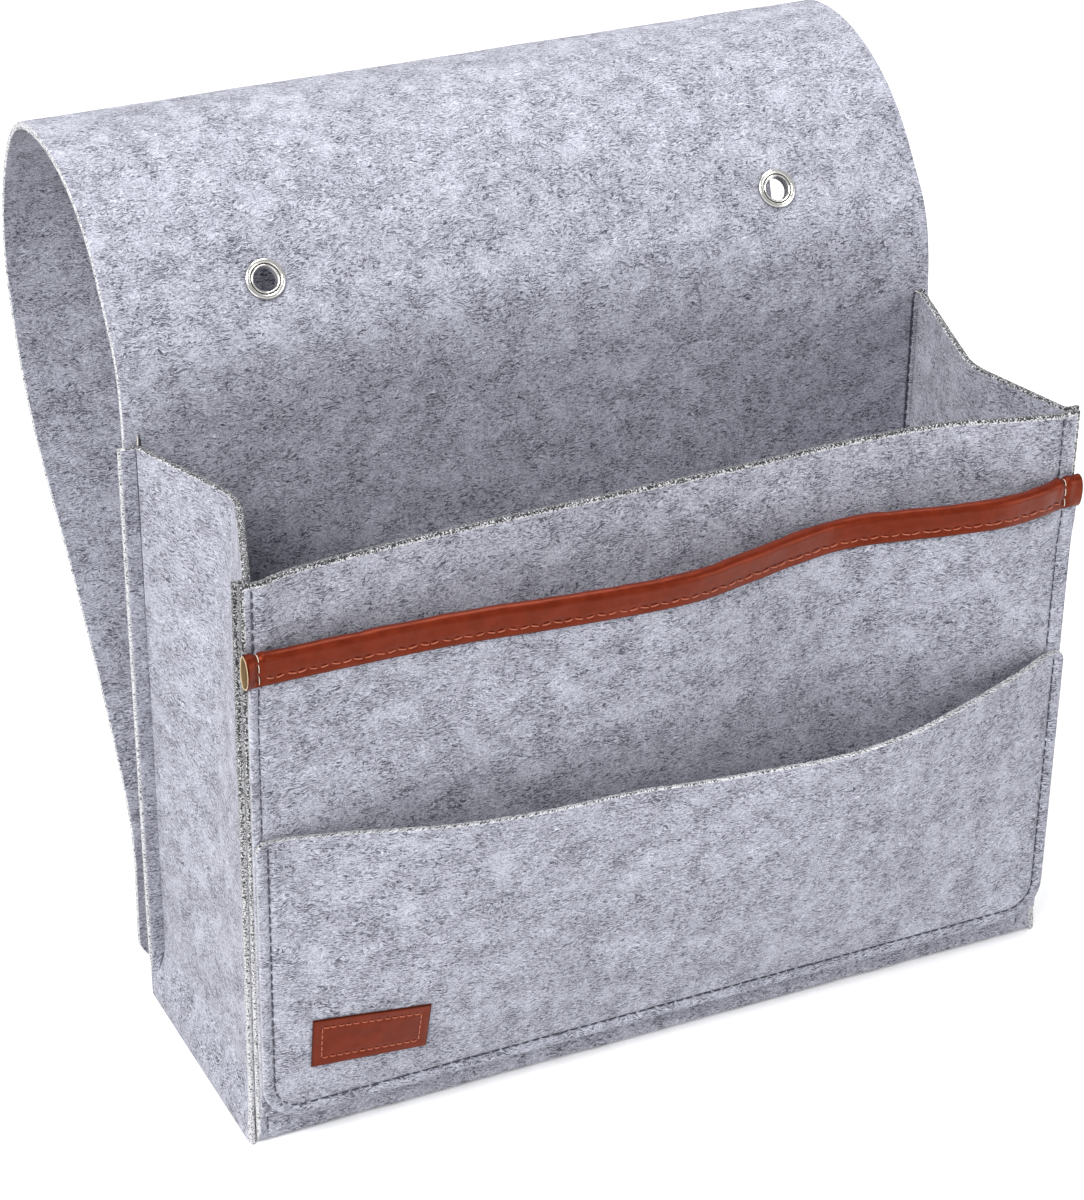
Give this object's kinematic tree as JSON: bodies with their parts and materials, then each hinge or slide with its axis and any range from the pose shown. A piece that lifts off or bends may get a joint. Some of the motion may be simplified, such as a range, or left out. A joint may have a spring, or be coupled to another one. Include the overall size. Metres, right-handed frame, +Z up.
{
  "type": "bedside caddy",
  "caption": "Felt bedside caddy: open box with gusseted sides, two front pockets, a leather-bound mouth and a long curling tuck-in flap with metal eyelets.",
  "frame": {"origin": "middle of the box's underside, on the surface that it stands on", "axes": "+Z up, +Y to the back (towards the bed), +X to the right seen from the front"},
  "size_m": [0.3248, 0.2742, 0.3148],
  "materials": {
    "felt": "needled heather-grey felt with dark flecks",
    "leather": "soft chestnut leatherette, low sheen",
    "nickel": "polished nickel-plated steel",
    "thread": "matt sewing thread",
    "bar_tack": "pale sewing thread",
    "leather_thread": "rust-coloured sewing thread"
  },
  "bodies": {
    "caddy": {"felt_strip": "felt", "gusset_left": "felt", "gusset_right": "felt", "middle_pocket": "felt", "pocket_binding": "leather", "lower_pocket": "felt", "label_patch": "leather", "eyelet_left": "nickel", "eyelet_right": "nickel", "eyelet_washer_left": "nickel", "eyelet_washer_right": "nickel"},
    "flap_1": {"flap_stretch_1": "felt"},
    "flap_2": {"flap_stretch_2": "felt"},
    "flap_3": {"flap_stretch_3": "felt"},
    "flap_4": {"flap_stretch_4": "felt"},
    "flap_5": {"flap_stretch_5": "felt"}
  },
  "joints": [
    {"name": "flap_bend_1", "type": "hinge", "parent": "caddy", "child": "flap_1", "pos_m": [0, 0.10978, 0.30657], "axis": [0.9997, -0.0213, 0.0138], "range_deg": [0, 33]},
    {"name": "flap_bend_2", "type": "hinge", "parent": "flap_1", "child": "flap_2", "pos_m": [0, 0.16766, 0.30048], "axis": [0.9997, -0.0213, 0.0138], "range_deg": [0, 33]},
    {"name": "flap_bend_3", "type": "hinge", "parent": "flap_2", "child": "flap_3", "pos_m": [0, 0.18505, 0.24366], "axis": [0.9997, -0.0213, 0.0138], "range_deg": [0, 33]},
    {"name": "flap_bend_4", "type": "hinge", "parent": "flap_3", "child": "flap_4", "pos_m": [0, 0.15204, 0.17136], "axis": [0.9997, -0.0213, 0.0138], "range_deg": [0, 33]},
    {"name": "flap_bend_5", "type": "hinge", "parent": "flap_4", "child": "flap_5", "pos_m": [0, 0.07605, 0.07912], "axis": [0.9997, -0.0213, 0.0138], "range_deg": [-44, 0]}
  ],
  "couplings": [
    {"joint": "flap_bend_2", "follows": "flap_bend_1", "ratio": 1},
    {"joint": "flap_bend_3", "follows": "flap_bend_1", "ratio": 1},
    {"joint": "flap_bend_4", "follows": "flap_bend_1", "ratio": 1},
    {"joint": "flap_bend_5", "follows": "flap_bend_1", "ratio": -1.3333}
  ]
}
